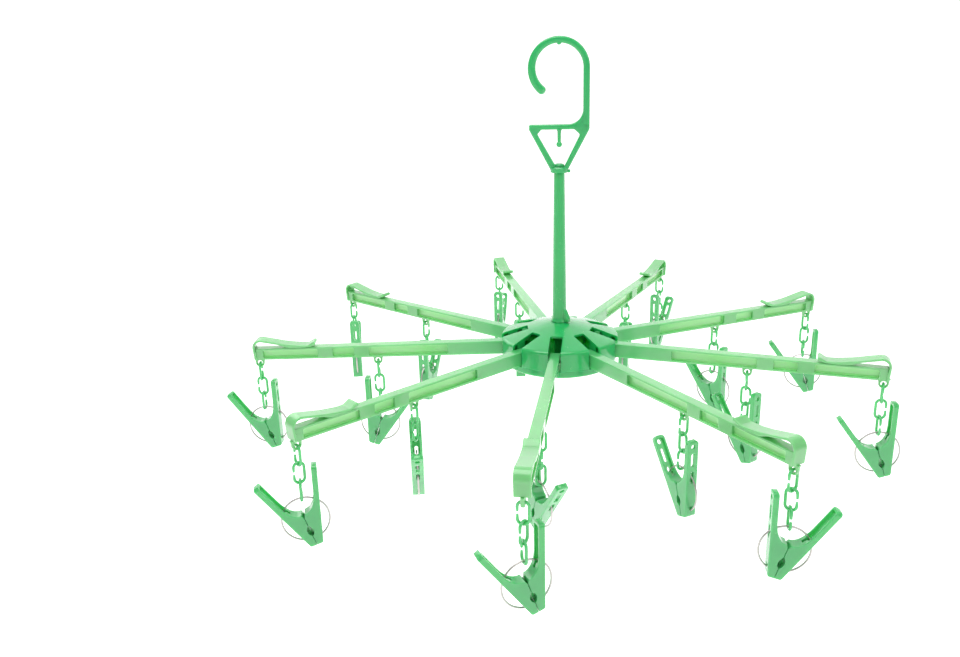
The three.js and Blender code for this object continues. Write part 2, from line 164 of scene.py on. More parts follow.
class HookSizes(bpy.types.PropertyGroup):
    """Sizes of the hook and its stirrup"""

    strap: length("Strap", "Thickness of the hook's strap", 6.5)
    strap_depth: length("Strap depth", "Depth of the strap, front to back", 10)
    radius: length("Hook radius", "Radius to the middle of the strap", 27)
    heel: length("Heel fillet", "Fillet between the shank and the crossbar", 14.5)
    bar: length("Crossbar", "Thickness of the crossbar", 5)
    leg: length("Leg", "Thickness of the stirrup's legs", 4.4)
    web: length("Corner web", "Extra width of the web under the shank", 7.5)
    depth: length("Stirrup depth", "Depth of the stirrup, front to back", 7)
    collar: length("Collar", "Radius of the swivel collar", 9)
    collar_height: length("Collar height", "Height of the swivel collar", 6)
    stud: length("Stud", "Length of the hanging stud", 15)
    stud_ball: length("Stud ball", "Radius of the ball on the stud", 2.9)
    tip_turn: angle("Tip", "Angle from the shank over the top to the tip", 230)


class HubSizes(bpy.types.PropertyGroup):
    """Sizes of the hub, its cover and the pole"""

    wall: length("Wall", "Wall of the hub and its cover", 2.4)
    shoulder: length("Shoulder", "Height of the dome's edge above the pins", 12.5)
    round_over: length("Shoulder round", "Rounding between the dome and the side wall", 2.6)
    slot: length("Slot", "Width of the slots for the arms", 13)
    slot_run: length("Slot run", "Slot, inwards from the pins", 16)
    lug: length("Lug", "Thickness of the lugs that hold the pins", 3)
    cover_inset: length("Cover inset", "The cover's edge, inwards from the hub's rim", 2)
    pole_foot: length("Pole foot", "Radius of the pole in its socket", 7.4)
    pole_top: length("Pole top", "Radius of the pole under the swivel", 5.3)
    spindle: length("Spindle", "Radius of the spindle in the collar", 3.4)


class ArmSizes(bpy.types.PropertyGroup):
    """Sizes of the folding arms"""

    reach: length("Reach", "From the hub's axis to the end of the beam", 328)
    width: length("Width", "Width of the beam", 10.6)
    root: length("Root height", "Height of the beam at its pin", 15)
    tip: length("Tip height", "Height of the beam at its end", 12.4)
    flange: length("Flange", "Thickness of the top and bottom flanges", 1.8)
    web: length("Web", "Thickness of the beam's web", 2.6)
    root_solid: length("Solid root", "From the pin to the first hollow", 71)
    near_hollow: length("Near hollow", "Length of the hollow nearest the hub", 85)
    middle_hollow: length("Middle hollow", "Length of the middle hollow", 23)
    block: length("Block", "Length of the solid blocks between the hollows", 16)
    tip_solid: length("Solid tip", "Solid end of the beam, past the last hollow", 8)
    pin: length("Pin", "Radius of the pins", 2.6)
    eye_hole: length("Eye hole", "Radius of the holes for the chains", 2.9)
    eye_rim: length("Eye rim", "Rim round each hole", 1.9)
    band: length("Finger band", "Thickness of the springy finger", 2.6)
    finger_rise: length("Finger rise", "Top of the finger above the beam", 10.5)
    finger: length("Finger", "Length of the springy finger", 66)
    mouth: length("Finger mouth", "Length of the open loop behind the finger's bend", 34)
    finger_width: length("Finger width", "Width of the springy finger", 14)


class PegSizes(bpy.types.PropertyGroup):
    """Sizes of the pegs, their springs and their chains"""

    length: length("Leg", "Length of a leg", 77)
    width: length("Width", "Width of a leg", 12)
    jaw: length("Jaw", "Half width of the closed jaws", 6)
    leg: length("Leg depth", "Thickness of a leg", 5)
    valley: length("Valley", "Floor of the V above the jaw ends", 33)
    fulcrum: length("Fulcrum", "Where the halves rock, above the jaw ends", 30)
    ring: length("Ring", "Radius of the ring spring", 21.5)
    ring_wire: length("Ring wire", "Thickness of the ring spring's wire", 1.7)
    ring_lift: length("Ring lift", "Lowest point of the ring above the jaw ends", 4.5)
    link: length("Link", "Inner length of a chain link", 17.2)
    link_wire: length("Link wire", "Thickness of a chain link", 2.6)
    link_width: length("Link width", "Width of a chain link", 12)
    links: IntProperty(name="Links", description="Links in each chain", default=3, min=1, max=8)
    half_angle: angle("Half angle", "Half the angle between the legs", 18)


class FinishColours(bpy.types.PropertyGroup):
    """Colours of the plastics and the steel"""

    hook: colour("Hook", "Hook and stirrup", (0.020, 0.400, 0.115, 1))
    body: colour("Body", "Hub and pole", (0.014, 0.430, 0.108, 1))
    arm: colour("Arms", "Folding arms", (0.180, 0.510, 0.200, 1))
    peg: colour("Pegs", "Pegs and levers", (0.075, 0.440, 0.145, 1))
    chain: colour("Chains", "Chain links", (0.080, 0.460, 0.160, 1))
    # painted light: the webs' paler tone is a glow standing in for light shining through them
    web_glow: colour("Thin webs", "Thin webs of the arms, where light comes through",
                 (0.400, 0.780, 0.360, 1))
    # painted shade: the roots' deeper tone stands in for shade where less light gets through
    thick: colour("Thick roots", "Thick roots of the arms, where the colour is deeper",
                  (0.050, 0.450, 0.130, 1))
    ring: colour("Rings", "Ring springs", (0.560, 0.520, 0.510, 1))
    screw: colour("Screw", "Cover screw", (0.620, 0.630, 0.640, 1))
    floor: colour("Floor", "Studio floor", (0.900, 0.905, 0.900, 1))


class StageSettings(bpy.types.PropertyGroup):
    """Where the camera stands and how bright the lights are"""

    distance: FloatProperty(name="Distance", description="Camera to the hub's centre",
                            default=1.0136, unit="LENGTH", subtype="DISTANCE")
    rise: angle("Rise", "Angle of the camera above the pins", 19.78)
    aside: angle("Aside", "How far the camera looks to the left of the hub", 4.87)
    lift: angle("Lift", "How far the camera looks above the hub", 0.95)
    lens: FloatProperty(name="Lens", description="Focal length in millimetres",
                        default=34.98, min=1.0)
    sky: FloatProperty(name="Sky", description="Brightness of the pale surroundings",
                       default=0.42, min=0.0)
    key: FloatProperty(name="Key", description="Power of the main light in watts",
                       default=30.0, min=0.0)
    fill: FloatProperty(name="Fill", description="Power of each side light in watts",
                        default=6.0, min=0.0)


# ---------------------------------------------------------------- outlines


def arc(x, z, radius, start, end, steps):
    """Points on an arc, ends included; angles in degrees."""
    turns = [math.radians(start + (end - start) * step / steps) for step in range(steps + 1)]
    return [(x + radius * math.cos(turn), z + radius * math.sin(turn)) for turn in turns]


def bend(start, pull_start, pull_end, end, steps):
    """Points on a smooth bend that leaves each end towards its pull."""
    corners = (start, pull_start, pull_end, end)
    points = []
    for step in range(steps + 1):
        t = step / steps
        shares = ((1 - t) ** 3, 3 * t * (1 - t) ** 2, 3 * t * t * (1 - t), t ** 3)
        points.append(tuple(sum(share * corner[axis] for share, corner in zip(shares, corners))
                            for axis in (0, 1)))
    return points


def softened(points, radius, steps=4):
    """A closed outline with its corners rounded.

    A corner may bring its own radius as a third number.
    """
    straight = 0.05             # radians; a corner nearer to straight or to a fold stays sharp
    longest = 0.45              # share of a side that one rounding may take
    made = []
    count = len(points)
    for index, corner in enumerate(points):
        here = Vector(corner[:2])
        before = Vector(points[index - 1][:2]) - here
        after = Vector(points[(index + 1) % count][:2]) - here
        wanted = corner[2] if len(corner) > 2 else radius
        between = before.angle(after, 0.0)
        if wanted <= 0 or between < straight or between > math.pi - straight:
            made.append(tuple(here))
            continue
        back = min(wanted / math.tan(between / 2), longest * before.length, longest * after.length)
        first = here + before.normalized() * back
        last = here + after.normalized() * back
        for step in range(steps + 1):
            t = step / steps
            made.append(tuple(first * (1 - t) ** 2 + here * 2 * t * (1 - t) + last * t * t))
    return made


def mirrored(points):
    """An outline mirrored in X, wound the same way."""
    return [(-x, z) for x, z in reversed(points)]


# ---------------------------------------------------------------- solids


def mesh_from(maker):
    """A cleaned mesh from a bmesh that is then freed."""
    bmesh.ops.remove_doubles(maker, verts=maker.verts, dist=1e-4)
    bmesh.ops.dissolve_degenerate(maker, edges=maker.edges, dist=1e-5)
    bmesh.ops.recalc_face_normals(maker, faces=maker.faces)
    made = bpy.data.meshes.new("solid")
    maker.to_mesh(made)
    maker.free()
    return made


def plate(outlines, depth, edge, y=0.0):
    """A plate in X and Z with rounded edges, its middle at y.

    Outlines after the first are holes.
    """
    curve = bpy.data.curves.new("plate", "CURVE")
    curve.dimensions = "2D"
    curve.fill_mode = "BOTH"
    for outline in outlines:
        spline = curve.splines.new("POLY")
        spline.points.add(len(outline) - 1)
        for point, (x, z) in zip(spline.points, outline):
            point.co = (x, z, 0.0, 1.0)
        spline.use_cyclic_u = True
    curve.extrude = depth / 2 - edge
    curve.bevel_depth = edge
    curve.bevel_resolution = 2
    curve.offset = -edge
    holder = bpy.data.objects.new("plate", curve)
    made = bpy.data.meshes.new_from_object(holder)
    bpy.data.objects.remove(holder)
    bpy.data.curves.remove(curve)
    made.transform(Matrix.Translation((0, y, 0)) @ Matrix.Rotation(math.radians(90), 4, "X"))
    maker = bmesh.new()
    maker.from_mesh(made)
    bpy.data.meshes.remove(made)
    return mesh_from(maker)


def turned(profile, steps=96, closed=False):
    """A solid turned about Z from points of radius and height."""
    maker = bmesh.new()
    rings = []
    for radius, height in profile:
        if radius < 1e-6:
            rings.append([maker.verts.new((0, 0, height))])
            continue
        turns = [2 * math.pi * step / steps for step in range(steps)]
        rings.append([maker.verts.new((radius * math.cos(turn), radius * math.sin(turn), height))
                      for turn in turns])
    pairs = list(zip(rings, rings[1:]))
    if closed:
        pairs.append((rings[-1], rings[0]))
    for lower, upper in pairs:
        for step in range(steps):
            follow = (step + 1) % steps
            corners = [lower[step % len(lower)], lower[follow % len(lower)],
                       upper[follow % len(upper)], upper[step % len(upper)]]
            corners = list(dict.fromkeys(corners))
            if len(corners) > 2:
                maker.faces.new(corners)
    return mesh_from(maker)


def swept(path, section, closed=False, swell=None):
    """A bar whose section runs along a path in X and Z.

    swell gives the section's size, across and in depth, at each point.
    """
    maker = bmesh.new()
    rings = []
    count = len(path)
    for index, (x, z) in enumerate(path):
        last = path[(index - 1) % count] if closed or index else path[index]
        following = path[(index + 1) % count] if closed or index < count - 1 else path[index]
        along = (Vector(following) - Vector(last)).normalized()
        across = Vector((along.y, -along.x))
        wide, deep = swell[index] if swell else (1.0, 1.0)
        rings.append([maker.verts.new((x + across.x * a * wide, y * deep, z + across.y * a * wide))
                      for a, y in section])
    sides = len(section)
    pairs = list(zip(rings, rings[1:]))
    if closed:
        pairs.append((rings[-1], rings[0]))
    for first, second in pairs:
        for side in range(sides):
            follow = (side + 1) % sides
            maker.faces.new((first[side], first[follow], second[follow], second[side]))
    if not closed:
        maker.faces.new(rings[0])
        maker.faces.new(list(reversed(rings[-1])))
    return mesh_from(maker)


def round_section(radius, sides=12):
    """A round section for a swept bar."""
    return arc(0, 0, radius, 0, 360 - 360 / sides, sides - 1)


def pill_section(across, depth, edge, steps=3):
    """A rectangular section with rounded corners."""
    half, deep = across / 2, depth / 2
    return softened([(half, -deep), (half, deep), (-half, deep), (-half, -deep)], edge, steps)


def moved(mesh, matrix):
    """A moved copy of a mesh."""
    made = mesh.copy()
    made.transform(matrix)
    return made


def gathered(meshes):
    """Several separate solids as one mesh."""
    maker = bmesh.new()
    for mesh in meshes:
        maker.from_mesh(mesh)
    made = bpy.data.meshes.new("solid")
    maker.to_mesh(made)
    maker.free()
    return made


def combined(base, tools, operation):
    """A base with each tool joined to it, taken from it or crossed with it."""
    scene = bpy.context.scene.collection
    holder = bpy.data.objects.new("base", base)
    helpers = [bpy.data.objects.new("tool", tool) for tool in tools]
    for helper in [holder, *helpers]:
        scene.objects.link(helper)
    for helper in helpers:
        change = holder.modifiers.new("change", "BOOLEAN")
        change.operation = operation
        change.solver = "MANIFOLD"
        change.object = helper
    graph = bpy.context.evaluated_depsgraph_get()
    made = bpy.data.meshes.new_from_object(holder.evaluated_get(graph))
    for spare in [holder, *helpers]:
        bpy.data.objects.remove(spare)
    return made


def joined(base, *tools):
    """One solid from several that touch."""
    return combined(base, tools, "UNION")


def carved(base, *tools):
    """A solid with others taken from it."""
    return combined(base, tools, "DIFFERENCE")


def across_bar(radius, half, x, z, edge=0.4):
    """A round pin along Y with softened ends."""
    pin = turned([
        (0, -half), (radius - edge, -half), (radius, -half + edge),
        (radius, half - edge), (radius - edge, half), (0, half),
    ], 32)
    pin.transform(Matrix.Translation((x, 0, z)) @ Matrix.Rotation(math.radians(90), 4, "X"))
    return pin


def spin(turn):
    """A rotation about Z."""
    return Matrix.Rotation(turn, 4, "Z")


def sideways(mesh, aside):
    """A mesh on each side of the middle plane."""
    return gathered([moved(mesh, Matrix.Translation((0, side * aside, 0))) for side in (-1, 1)])


def placed(name, mesh, body, material, matrix=None, stands_for=(), ready=False):
    """A piece of the dryer, riding on a body; a ready mesh is in metres already."""
    piece = bpy.data.objects.new(name, mesh)
    bpy.context.scene.collection.objects.link(piece)
    if matrix is not None:
        spot = matrix.copy()
        spot.translation = spot.translation * MM
        piece.matrix_world = spot
    if not ready:
        made_ready(mesh)
    mesh.materials.clear()
    mesh.materials.append(material)
    level = piece.modifiers.new("even_light", "WEIGHTED_NORMAL")
    level.keep_sharp = True
    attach(piece, body)
    if stands_for:
        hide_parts(*stands_for)
    return piece


def made_ready(mesh):
    """Scales a mesh from millimetres to metres and smooths all but its sharp edges."""
    sharp = math.radians(34)
    mesh.transform(Matrix.Scale(MM, 4))
    mesh.shade_smooth()
    mesh.set_sharp_from_angle(angle=sharp)
    return mesh


# ---------------------------------------------------------------- shader maths


class Signal:
    """A socket of a material that can be used in sums."""

    def __init__(self, finish, socket):
        self.finish = finish
        self.socket = socket

    def maths(self, operation, *values):
        """One Math node; without values it works on this socket alone."""
        return self.finish.node("Math", {"operation": operation}, *(values or (self,)))

    def __add__(self, other):
        return self.maths("ADD", self, other)

    def __sub__(self, other):
        return self.maths("SUBTRACT", self, other)

    def __rsub__(self, other):
        return self.maths("SUBTRACT", other, self)

    def __mul__(self, other):
        return self.maths("MULTIPLY", self, other)

    __radd__ = __add__
    __rmul__ = __mul__

    def clamped(self):
        """The value kept between 0 and 1."""
        return self.finish.node("Clamp", {}, self)


class Finish:
    """A material under construction."""

    def __init__(self, name):
        self.material = bpy.data.materials.new(name)
        self.material.use_nodes = True
        self.tree = self.material.node_tree
        self.tree.nodes.clear()
        self.shader = self.tree.nodes.new("ShaderNodeBsdfPrincipled")
        output = self.tree.nodes.new("ShaderNodeOutputMaterial")
        self.tree.links.new(self.shader.outputs["BSDF"], output.inputs["Surface"])

    def feed(self, socket, value):
        """Links a signal to a socket, or sets a plain value on it."""
        if isinstance(value, Signal):
            self.tree.links.new(value.socket, socket)
        else:
            socket.default_value = value

    def node(self, kind, settings, *values, output=0, **named):
        """Any node: its type, its settings, and the values or links of its sockets."""
        made = self.tree.nodes.new("ShaderNode" + kind)
        for setting, value in settings.items():
            setattr(made, setting, value)
        for socket, value in zip(made.inputs, values):
            self.feed(socket, value)
        for name, value in named.items():
            self.feed(made.inputs[name.replace("_", " ")], value)
        return Signal(self, made.outputs[output])

    def mix(self, share, first, second):
        """One colour blended into another."""
        first_colour, second_colour, blended = 6, 7, 2      # sockets of a Mix node for colours
        made = self.tree.nodes.new("ShaderNodeMix")
        made.data_type = "RGBA"
        self.feed(made.inputs["Factor"], share)
        self.feed(made.inputs[first_colour], first)
        self.feed(made.inputs[second_colour], second)
        return Signal(self, made.outputs[blended])

    def noise(self, scale, detail=3.0, roughness=0.5, stretch=None):
        """Soft random marks, from 0 to 1; scale counts them per metre."""
        place = self.node("TexCoord", {}, output="Object")
        if stretch:
            place = self.node("VectorMath", {"operation": "MULTIPLY"}, place, stretch)
        return self.node("TexNoise", {}, Vector=place, Scale=scale, Detail=detail,
                         Roughness=roughness)

    def set(self, **values):
        """Feeds the shader's own sockets, named with low lines for spaces."""
        for name, value in values.items():
            self.feed(self.shader.inputs[name.replace("_", " ")], value)

    def bump(self, height, depth, strength=1.0):
        """Relief of a real depth, in metres."""
        relief = self.node("Bump", {}, Strength=strength, Distance=depth, Height=height,
                           output="Normal")
        self.feed(self.shader.inputs["Normal"], relief)


def shade(tone, factor):
    """A lighter or darker tone of a colour."""
    return tuple(min(1.0, channel * factor) for channel in tone[:3]) + (1.0,)


def toned(finish, marks, tone, dark, light):
    """A colour that soft marks take from a darker to a lighter tone."""
    return finish.mix(marks, shade(tone, dark), shade(tone, light))


def arm_tones(finish, flow, colour_here, web_glow, thick):
    """The arm's colour with a paler glow painted on its webs and painted shade on its deeper root;
    places are in metres.
    """
    web_half, hollow_half, last_hollow_end = 0.0024, 0.0056, 0.3215
    crisp = 1500.0              # the edge of a web fades over 1 / crisp
    root_end, root_fade, root_strength = 0.150, 11.0, 0.8
    place = finish.node("TexCoord", {}, output="Object")
    along = finish.node("SeparateXYZ", {}, place, output="X")
    aside = finish.node("SeparateXYZ", {}, place, output="Y").maths("ABSOLUTE")
    above = finish.node("SeparateXYZ", {}, place, output="Z").maths("ABSOLUTE")
    # web masks the webs, where a paler tone is painted as a glow of light shining through
    web = ((web_half - aside) * crisp).clamped() * ((hollow_half - above) * crisp).clamped()
    web = web * ((last_hollow_end - along) * crisp).clamped()
    colour_here = finish.mix(web, colour_here, toned(finish, flow, web_glow, 0.9, 1.1))
    # a deeper tone fades in near the hub, painted shade where the thick root lets less light through
    root = ((root_end - along) * root_fade).clamped() * root_strength
    return finish.mix(root, colour_here, toned(finish, flow, thick, 0.85, 1.15))


def moulded_plastic(name, tone, glow, web_glow=None, thick=None):
    """Glossy moulded plastic that lets a little light in, with flow marks and a fine skin.

    The tone for a web in the middle of the moulding is painted paler, a glow standing in for
    light that comes through it, and thick is a deeper tone, painted shade on its thick root.
    """
    polish = 0.14               # roughness of the smoothest spots
    finish = Finish(name)
    cloud = finish.noise(16.0, 2.0)
    streak = finish.noise(9.0, 3.0, stretch=(1.0, 1.0, 6.0))
    speck = finish.noise(900.0, 2.0)
    skin = finish.noise(520.0, 2.0)
    wear = finish.noise(70.0, 5.0, 0.65)
    flow = (cloud * 0.65 + streak * 0.35).clamped()
    colour_here = toned(finish, flow, tone, 0.80, 1.22)
    if web_glow:
        colour_here = arm_tones(finish, flow, colour_here, web_glow, thick)
    finish.set(
        Base_Color=colour_here,
        Roughness=(wear * 0.16 + speck * 0.05 + polish).clamped(),
        Coat_Weight=0.75,
        Coat_Roughness=0.08,
        IOR=1.49,
        Specular_IOR_Level=0.45,
        Subsurface_Weight=glow,
        Subsurface_Radius=(0.35, 1.0, 0.45),
        Subsurface_Scale=0.010,
    )
    finish.bump(skin * 0.5 + cloud * 0.5, depth=0.00012, strength=0.35)
    return finish.material


def drawn_steel(name, tone, roughness):
    """Drawn steel with fine lines and a few dull patches; roughness is its middle value."""
    finish = Finish(name)
    lines = finish.noise(1400.0, 2.0, stretch=(1.0, 1.0, 0.15))
    patches = finish.noise(120.0, 4.0, 0.6)
    finish.set(
        Base_Color=toned(finish, patches, tone, 0.78, 1.15),
        Metallic=1.0,
        Roughness=(lines * 0.14 + patches * 0.12 + (roughness - 0.12)).clamped(),
    )
    finish.bump(lines, depth=0.00002, strength=0.4)
    return finish.material


def floor_paint(name, tone):
    """Pale matt studio floor that glows a little, so that shadows stay soft."""
    finish = Finish(name)
    cloud = finish.noise(2.0, 2.0)
    finish.set(
        Base_Color=toned(finish, cloud, tone, 0.99, 1.01),
        Roughness=0.9,
        Emission_Color=(1.0, 1.0, 1.0, 1.0),
        Emission_Strength=0.50,
    )
    return finish.material


def material(name):
    """A finish by name, made on first use."""
    found = bpy.data.materials.get(name)
    if found:
        return found
    tones = bpy.context.scene.dryer_colours
    stout, slim = 0.45, 0.55    # how much light goes into a stout and a slim moulding
    makers = {
        "hook_plastic": lambda: moulded_plastic(name, tones.hook, stout),
        "body_plastic": lambda: moulded_plastic(name, tones.body, slim),
        "arm_plastic": lambda: moulded_plastic(name, tones.arm, stout, tones.web_glow, tones.thick),
        "peg_plastic": lambda: moulded_plastic(name, tones.peg, slim),
        "chain_plastic": lambda: moulded_plastic(name, tones.chain, slim),
        "ring_steel": lambda: drawn_steel(name, tones.ring, roughness=0.30),
        "screw_steel": lambda: drawn_steel(name, tones.screw, roughness=0.26),
        "floor_paint": lambda: floor_paint(name, tones.floor),
    }
    return makers[name]()


# ---------------------------------------------------------------- hook and pole


def hook_solid(sizes):
    """Hook, shank, stirrup, stud and collar, as one moulding."""
    strap, deep, radius = sizes_of(sizes, "strap strap_depth radius")
    heel, bar, leg, web = sizes_of(sizes, "heel bar leg web")
    collar, collar_height = sizes_of(sizes, "collar collar_height")
    shank, eye_height = 54.5, 37
    centre = -(radius - strap / 2)
    bar_top = centre - shank
    bar_bottom = bar_top - bar
    collar_bottom = HOOK_FOOT
    collar_top = collar_bottom + collar_height
    outer, inner = radius + strap / 2, radius - strap / 2

    curl = arc(0, centre, radius, math.degrees(sizes.tip_turn), 0, 56)
    path = curl + [(radius, bar_top + heel), (radius, bar_top)]
    tip_swell, swollen_steps = 0.3, 34          # the strap thickens towards its tip
    thick = [1.0 + tip_swell * max(0.0, 1 - step / swollen_steps) for step in range(len(path))]
    swell = [(wide, 1.0) for wide in thick]
    tip = Vector(path[0])
    back = (tip - Vector(path[1])).normalized()
    cap_steps, cap_reach = 6, strap * 0.65
    for step in range(cap_steps):
        turn = math.pi / 2 * (step + 1) / (cap_steps + 0.4)
        size = math.cos(turn)
        path.insert(0, tuple(tip + back * cap_reach * math.sin(turn)))
        swell.insert(0, (thick[0] * size, size))
    strap_bar = swept(path, pill_section(strap, deep, 2.2), swell=swell)

    weld = bar_top + heel + 4                   # the shank's plate ends inside the strap
    fillet = [(x, z, 0) for x, z in arc(inner - heel, bar_top + heel, heel, 0, -90, 10)]
    rim = [
        (-collar + 1.6, collar_bottom + 0.2, 1.0),
        (collar - 1.6, collar_bottom + 0.2, 1.0),
        (outer, bar_bottom, 6.0),
        (outer, weld, 0.5),
        (inner, weld, 0.5),
        *fillet,
        (-outer, bar_top, 1.6),
        (-outer, bar_bottom, 2.0),
    ]
    inside_right = outer - leg - 0.75 * web
    inside_left = -outer + 1.9 * leg
    foot = bar_bottom - eye_height
    eye = [
        (-3.4, foot, 1.8),
        (5.0, foot, 1.8),
        (inside_right + 0.6, bar_bottom - 0.7 * web, 3.0),
        (inside_right - 0.7 * web, bar_bottom, 3.0),
        (inside_left + 4, bar_bottom, 1.6),
        (inside_left, bar_bottom - 4.5, 1.6),
    ]
    stirrup = plate([softened(rim, 1.0, 8), softened(eye, 1.0, 5)], size_of(sizes, "depth"), 1.3)

    ring = turned([
        (0, collar_bottom), (collar - 0.8, collar_bottom), (collar, collar_bottom + 0.8),
        (collar, collar_top - 1.2), (collar - 1.2, collar_top), (0, collar_top),
    ], 48)
    ball = size_of(sizes, "stud_ball")
    ball_height = bar_bottom - size_of(sizes, "stud")
    stud = turned([
        (0, bar_bottom + 1), (4.0, bar_bottom + 1), (2.6, bar_bottom - 0.4),
        (1.9, bar_bottom - 2), (1.7, ball_height + ball),
        *arc(0, ball_height, ball, 54, -90, 10),
    ], 28)
    nub_end, nub_height = collar + 2.2, 3
    nub = plate([softened([
        (collar - 1, collar_bottom), (nub_end, collar_bottom),
        (nub_end, collar_bottom + nub_height), (collar - 1, collar_bottom + nub_height),
    ], 0.8)], 4.4, 0.5)
    tooth = plate([arc(0, 0.6, 2.4, 180, 360, 10)], deep - 0.6, 0.4)
    bore_radius = size_of(bpy.context.scene.dryer_hub, "spindle") + RUNNING_GAP
    cap_room, cap_floor, cap_ceiling = 5.5, collar_top + 0.1, collar_top + 5.2
    bore = turned([
        (0, collar_bottom - 1), (bore_radius, collar_bottom - 1), (bore_radius, cap_floor),
        (cap_room, cap_floor), (cap_room, cap_ceiling), (0, cap_ceiling),
    ], 40)
    return carved(joined(stirrup, strap_bar, ring, stud, nub, tooth), bore)


def pole_solid(sizes):
    """Tapered pole with its foot, spindle and gusset."""
    foot, top, spindle = sizes_of(sizes, "pole_foot pole_top spindle")
    low, high = POLE_LOW.z, POLE_HIGH.z
    shoulder = HOOK_FOOT - RUNNING_GAP
    dome = HUB_HIGH.z
    ledge = dome + 0.35
    rod = turned([
        (0, low), (foot - 0.6, low), (foot, low + 0.6), (foot, dome),
        (foot + 1.6, ledge), (foot + 1.6, dome + 1.2), (foot + 0.7, dome + 2.4),
        (foot - 0.05, dome + 5), (top, shoulder - 0.8), (top - 0.8, shoulder),
        (spindle, shoulder), (spindle, high - 0.6), (spindle - 0.6, high), (0, high),
    ], 72)
    gusset_out, gusset_low, gusset_high = foot + 5.2, ledge + 4.2, ledge + 13.4
    gusset_turn = math.radians(-35)
    gusset = plate([softened([
        (foot - 4, ledge), (gusset_out, ledge), (gusset_out, gusset_low),
        (foot + 0.6, gusset_high), (foot - 4, gusset_high),
    ], 1.2)], 5.0, 0.9)
    gusset.transform(spin(gusset_turn))
    seam = plate([[
        (foot - 1.4, dome + 3), (foot + 0.14, dome + 3),
        (top + 0.16, shoulder - 1.2), (top - 1.4, shoulder - 1.2),
    ]], 0.7, 0.1)
    return joined(rod, gusset, gathered([seam, moved(seam, spin(math.pi))]))


def cap_solid(sizes):
    """Rounded cap that keeps the spindle in the collar."""
    low, high = low_high("swivel_cap")
    radius = (high.x - low.x) / 2
    inner = size_of(sizes, "spindle") + RUNNING_GAP
    skirt = 0.9
    rise = high.z - low.z - skirt
    crown = bend((radius - 0.1, 0.4), (radius - 0.3, 1.4),
                 (radius - 1.6, rise - 0.05), (0, rise), 8)
    return turned([
        (inner, low.z), (radius, low.z), (radius, low.z + skirt),
        *[(x, low.z + skirt + z) for x, z in crown],
        (0, high.z - 1.2), (inner, high.z - 1.2),
    ], 40, closed=True)


# ---------------------------------------------------------------- hub


def around(mesh):
    """A mesh repeated at every arm."""
    return gathered([moved(mesh, spin(arm_turn(number))) for number in ARM_NUMBERS])


def boss_radius(sizes):
    """Radius of the boss round the pole's socket."""
    return size_of(sizes, "pole_foot") + 3.6


def dome_height(reach, sizes):
    """The dome's outer face at a distance from the axis, above the pins."""
    roundness = 1.18
    boss = boss_radius(sizes)
    crown = HUB_HIGH.z - PIN_PLANE - 0.8
    share = max(0.0, (reach - boss) / (HUB_RADIUS - boss))
    return crown - (crown - size_of(sizes, "shoulder") + 0.4) * share ** roundness


def hub_solid(sizes):
    """Domed shell with a slot, two lugs and open pin seats for each arm, and the pole's socket."""
    wall, foot, slot, lug = sizes_of(sizes, "wall pole_foot slot lug")
    edge, slot_run = sizes_of(sizes, "round_over slot_run")
    skirt = HUB_LOW.z - PIN_PLANE
    crown = HUB_HIGH.z - PIN_PLANE
    boss = boss_radius(sizes)
    inner = HUB_RADIUS - wall
    steps = 12
    reaches = [boss + (HUB_RADIUS - edge - boss) * step / steps for step in range(steps + 1)]
    inner_reaches = [reach for reach in reversed(reaches) if reach < inner]
    corner = dome_height(HUB_RADIUS - edge, sizes)
    shoulder = bend((HUB_RADIUS - edge, corner), (HUB_RADIUS - 0.9, corner - 0.6),
                    (HUB_RADIUS, corner - 1.6), (HUB_RADIUS, corner - edge - 0.8), 5)[1:]
    shell = turned([
        (0, crown), (boss - 1, crown - 0.3),
        *[(reach, dome_height(reach, sizes)) for reach in reaches],
        *shoulder,
        (HUB_RADIUS, skirt + 0.6), (HUB_RADIUS - 0.6, skirt),
        (inner + 0.3, skirt), (inner, skirt + 0.3),
        *[(reach, dome_height(reach, sizes) - wall) for reach in inner_reaches],
        (0, crown - wall),
    ], 144)
    socket_foot = POLE_LOW.z - PIN_PLANE
    post_foot, post_top = socket_foot - 3, crown - 1.6
    post = turned([
        (0, post_foot), (boss - 0.6, post_foot), (boss, post_foot + 0.6),
        (boss, post_top), (0, post_top),
    ], 48)
    ear_half, ear_foot = 5, -4.6
    ear_in, ear_out = PIN_REACH - ear_half, PIN_REACH + ear_half
    ear = plate([softened([
        (ear_in, ear_foot), (ear_out, ear_foot),
        (ear_out, dome_height(ear_out, sizes) - 1), (ear_in, dome_height(ear_in, sizes) - 1),
    ], 0.8)], lug, 0.3)
    ears = sideways(ear, (slot + lug) / 2)
    way_start, way_end, way_tall = PIN_REACH - slot_run, HUB_RADIUS + 6, 70
    way = plate([softened([
        (way_start, -slot / 2), (way_end, -slot / 2), (way_end, slot / 2), (way_start, slot / 2),
    ], 1.4)], way_tall, 0.05)
    way.transform(Matrix.Rotation(math.radians(-90), 4, "X"))
    seat_half = 2.9
    seat = plate([[
        (PIN_REACH - seat_half, -7), (PIN_REACH + seat_half, -7),
        *arc(PIN_REACH, 0, seat_half, 0, 180, 16),
    ]], slot + 2 * lug + 2, 0.05)
    screw_hole, room = 2.4, foot + RUNNING_GAP
    socket_floor = socket_foot - RUNNING_GAP
    socket = turned([
        (0, post_foot - 2), (screw_hole, post_foot - 2), (screw_hole, socket_floor),
        (room, socket_floor), (room, crown + 2), (0, crown + 2),
    ], 48)
    whole = joined(shell, post, around(ears))
    return carved(whole, around(way), around(seat), socket)


